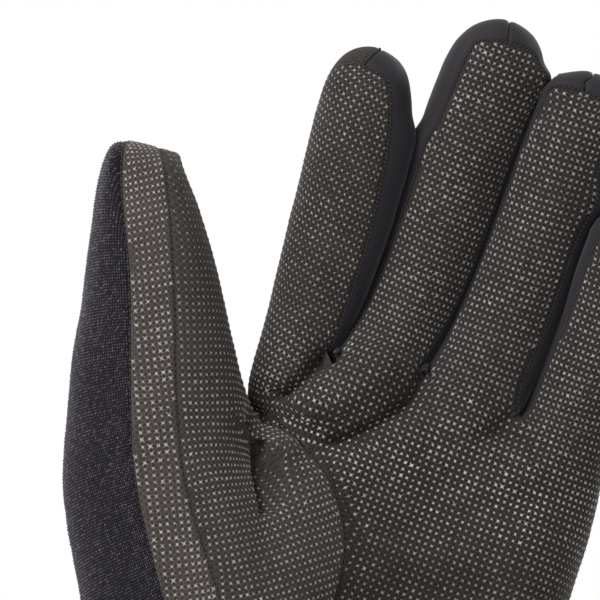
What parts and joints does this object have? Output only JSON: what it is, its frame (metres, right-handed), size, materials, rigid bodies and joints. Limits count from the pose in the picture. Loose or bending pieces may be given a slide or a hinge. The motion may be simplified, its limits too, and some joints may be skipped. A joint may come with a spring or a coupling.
{
  "type": "cycling glove",
  "caption": "Full-finger left-hand cycling glove with a dotted grip palm, thumb strip, knit thumb back, finger side strips and a plain cuff, in its worn shape.",
  "frame": {"origin": "centre of the cuff's mouth, where the hand goes in", "axes": "+Z from the cuff's mouth to the fingertips, -Y out of the palm, -X to the thumb's side"},
  "size_m": [0.143, 0.0595, 0.2435],
  "materials": {
    "palm_fabric": "matte brown-black synthetic suede with a close grid of small pale grip dots",
    "thumb_fabric": "the same dotted material, a little lighter and browner",
    "knit": "matte ribbed charcoal knit",
    "softshell": "smooth slate-black stretch softshell with a faint sheen",
    "back_softshell": "plain black softshell",
    "cuff_fabric": "plain black stretch fabric with a turned hem"
  },
  "bodies": {
    "root": {"palm_panel": "palm_fabric", "thumb_strip": "thumb_fabric", "thumb_palm_panel": "thumb_fabric", "web_patch": "palm_fabric", "thumb_knit_panel": "knit", "fourchette_index_middle": "softshell", "fourchette_middle_ring": "softshell", "fourchette_ring_little": "softshell", "back_panel": "back_softshell", "cuff": "cuff_fabric"}
  },
  "joints": []
}
